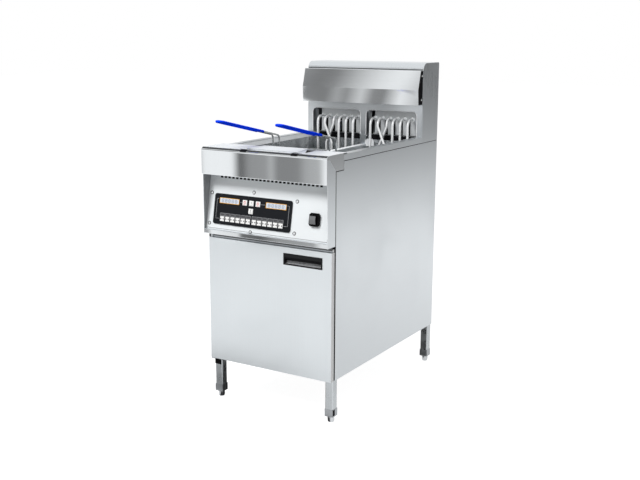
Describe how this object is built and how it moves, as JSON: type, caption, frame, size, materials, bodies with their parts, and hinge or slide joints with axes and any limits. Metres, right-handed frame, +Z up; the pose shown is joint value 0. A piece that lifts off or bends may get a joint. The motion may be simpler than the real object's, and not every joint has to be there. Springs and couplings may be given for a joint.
{
  "type": "double deep fryer",
  "caption": "Floor-standing electric deep fryer in stainless steel with twin oil tanks, lift-out wire baskets, slanted keypad panel, hinged door and rear heating-tube riser.",
  "frame": {"origin": "on the floor, at the centre of the bounding box with the basket handles", "axes": "+X to the right seen from the front, +Y to the back, +Z up"},
  "size_m": [0.49, 0.9, 1.166],
  "materials": {
    "stainless": "brushed",
    "polished_steel": "polished",
    "galvanised": "galvanised",
    "heater_tube": "satin",
    "basket_wire": "nickel plated",
    "blue_coating": "gloss",
    "black_plastic": "satin",
    "keypad_black": "satin",
    "display_pane": "gloss",
    "key_white": "satin",
    "valve_brass": "cast",
    "lever_red": "coated"
  },
  "bodies": {
    "cabinet": {"left_side_panel": "stainless", "right_side_panel": "stainless", "front_frame": "stainless", "legs": "stainless", "control_housing": "stainless", "control_panel": "stainless", "counter_deck": "stainless", "left_tank": "stainless", "right_tank": "stainless", "riser_shell": "stainless", "riser_front": "stainless", "hood_brackets": "stainless", "cover_screws": "stainless", "terminal_plate": "stainless", "basket_racks": "stainless", "hinge_pins": "stainless", "nose_cover": "polished_steel", "ledge_plate": "polished_steel", "hood_panel": "polished_steel", "back_panel": "galvanised", "base_pan": "galvanised", "control_box": "galvanised", "left_heating_element": "heater_tube", "right_heating_element": "heater_tube", "temperature_probes": "heater_tube", "switch_bezel": "black_plastic", "cable_gland": "black_plastic", "keypad_bezel": "keypad_black", "display_windows": "display_pane", "drain_valves": "valve_brass"},
    "door": {"door_panel": "stainless", "door_liner": "stainless", "door_handle": "black_plastic"},
    "left_basket_body": {"left_basket": "basket_wire", "left_basket_grip": "blue_coating"},
    "right_basket_body": {"right_basket": "basket_wire", "right_basket_grip": "blue_coating"},
    "left_lever": {"left_valve_lever": "lever_red"},
    "right_lever": {"right_valve_lever": "lever_red"},
    "power_rocker": {"rocker": "black_plastic"},
    "foot_front_left_body": {"foot_front_left": "stainless"},
    "foot_front_right_body": {"foot_front_right": "stainless"},
    "foot_rear_left_body": {"foot_rear_left": "stainless"},
    "foot_rear_right_body": {"foot_rear_right": "stainless"},
    "key_left_body": {"key_left": "key_white"},
    "key_middle_body": {"key_middle": "key_white"},
    "key_right_body": {"key_right": "key_white"},
    "key_lower_body": {"key_lower": "key_white"},
    "timer_key_1_body": {"timer_key_1": "key_white"},
    "timer_key_2_body": {"timer_key_2": "key_white"},
    "timer_key_3_body": {"timer_key_3": "key_white"},
    "timer_key_4_body": {"timer_key_4": "key_white"},
    "timer_key_5_body": {"timer_key_5": "key_white"},
    "timer_key_6_body": {"timer_key_6": "key_white"},
    "timer_key_7_body": {"timer_key_7": "key_white"},
    "timer_key_8_body": {"timer_key_8": "key_white"},
    "timer_key_9_body": {"timer_key_9": "key_white"},
    "timer_key_10_body": {"timer_key_10": "key_white"},
    "timer_key_11_body": {"timer_key_11": "key_white"},
    "timer_key_12_body": {"timer_key_12": "key_white"}
  },
  "joints": [
    {"name": "door_hinge", "type": "hinge", "parent": "cabinet", "child": "door", "pos_m": [-0.237, -0.3273, 0.369], "axis": [0, 0, -1], "range_deg": [0, 110]},
    {"name": "left_basket_lift", "type": "slide", "parent": "cabinet", "child": "left_basket_body", "axis": [0, 0, 1], "range_m": [0, 0.3]},
    {"name": "right_basket_lift", "type": "slide", "parent": "cabinet", "child": "right_basket_body", "axis": [0, 0, 1], "range_m": [0, 0.3]},
    {"name": "left_valve_turn", "type": "hinge", "parent": "cabinet", "child": "left_lever", "pos_m": [-0.0782, -0.217, 0.5505], "axis": [-1, 0, 0], "range_deg": [0, 90]},
    {"name": "right_valve_turn", "type": "hinge", "parent": "cabinet", "child": "right_lever", "pos_m": [0.0782, -0.217, 0.5505], "axis": [-1, 0, 0], "range_deg": [0, 90]},
    {"name": "front_left_foot_screw", "type": "slide", "parent": "cabinet", "child": "foot_front_left_body", "axis": [0, 0, -1], "range_m": [0, 0.02]},
    {"name": "front_right_foot_screw", "type": "slide", "parent": "cabinet", "child": "foot_front_right_body", "axis": [0, 0, -1], "range_m": [0, 0.02]},
    {"name": "rear_left_foot_screw", "type": "slide", "parent": "cabinet", "child": "foot_rear_left_body", "axis": [0, 0, -1], "range_m": [0, 0.02]},
    {"name": "rear_right_foot_screw", "type": "slide", "parent": "cabinet", "child": "foot_rear_right_body", "axis": [0, 0, -1], "range_m": [0, 0.02]},
    {"name": "power_tilt", "type": "hinge", "parent": "cabinet", "child": "power_rocker", "pos_m": [0.185, -0.34418, 0.69174], "axis": [-1, 0, 0], "range_deg": [0, 14]},
    {"name": "key_left_press", "type": "slide", "parent": "cabinet", "child": "key_left_body", "axis": [0, 0.9828, -0.1845], "range_m": [0, 0.0006], "stiffness_N_per_m": 600},
    {"name": "key_middle_press", "type": "slide", "parent": "cabinet", "child": "key_middle_body", "axis": [0, 0.9828, -0.1845], "range_m": [0, 0.0006], "stiffness_N_per_m": 600},
    {"name": "key_right_press", "type": "slide", "parent": "cabinet", "child": "key_right_body", "axis": [0, 0.9828, -0.1845], "range_m": [0, 0.0006], "stiffness_N_per_m": 600},
    {"name": "key_lower_press", "type": "slide", "parent": "cabinet", "child": "key_lower_body", "axis": [0, 0.9828, -0.1845], "range_m": [0, 0.0006], "stiffness_N_per_m": 600},
    {"name": "timer_key_1_press", "type": "slide", "parent": "cabinet", "child": "timer_key_1_body", "axis": [0, 0.9828, -0.1845], "range_m": [0, 0.0006], "stiffness_N_per_m": 600},
    {"name": "timer_key_2_press", "type": "slide", "parent": "cabinet", "child": "timer_key_2_body", "axis": [0, 0.9828, -0.1845], "range_m": [0, 0.0006], "stiffness_N_per_m": 600},
    {"name": "timer_key_3_press", "type": "slide", "parent": "cabinet", "child": "timer_key_3_body", "axis": [0, 0.9828, -0.1845], "range_m": [0, 0.0006], "stiffness_N_per_m": 600},
    {"name": "timer_key_4_press", "type": "slide", "parent": "cabinet", "child": "timer_key_4_body", "axis": [0, 0.9828, -0.1845], "range_m": [0, 0.0006], "stiffness_N_per_m": 600},
    {"name": "timer_key_5_press", "type": "slide", "parent": "cabinet", "child": "timer_key_5_body", "axis": [0, 0.9828, -0.1845], "range_m": [0, 0.0006], "stiffness_N_per_m": 600},
    {"name": "timer_key_6_press", "type": "slide", "parent": "cabinet", "child": "timer_key_6_body", "axis": [0, 0.9828, -0.1845], "range_m": [0, 0.0006], "stiffness_N_per_m": 600},
    {"name": "timer_key_7_press", "type": "slide", "parent": "cabinet", "child": "timer_key_7_body", "axis": [0, 0.9828, -0.1845], "range_m": [0, 0.0006], "stiffness_N_per_m": 600},
    {"name": "timer_key_8_press", "type": "slide", "parent": "cabinet", "child": "timer_key_8_body", "axis": [0, 0.9828, -0.1845], "range_m": [0, 0.0006], "stiffness_N_per_m": 600},
    {"name": "timer_key_9_press", "type": "slide", "parent": "cabinet", "child": "timer_key_9_body", "axis": [0, 0.9828, -0.1845], "range_m": [0, 0.0006], "stiffness_N_per_m": 600},
    {"name": "timer_key_10_press", "type": "slide", "parent": "cabinet", "child": "timer_key_10_body", "axis": [0, 0.9828, -0.1845], "range_m": [0, 0.0006], "stiffness_N_per_m": 600},
    {"name": "timer_key_11_press", "type": "slide", "parent": "cabinet", "child": "timer_key_11_body", "axis": [0, 0.9828, -0.1845], "range_m": [0, 0.0006], "stiffness_N_per_m": 600},
    {"name": "timer_key_12_press", "type": "slide", "parent": "cabinet", "child": "timer_key_12_body", "axis": [0, 0.9828, -0.1845], "range_m": [0, 0.0006], "stiffness_N_per_m": 600}
  ]
}
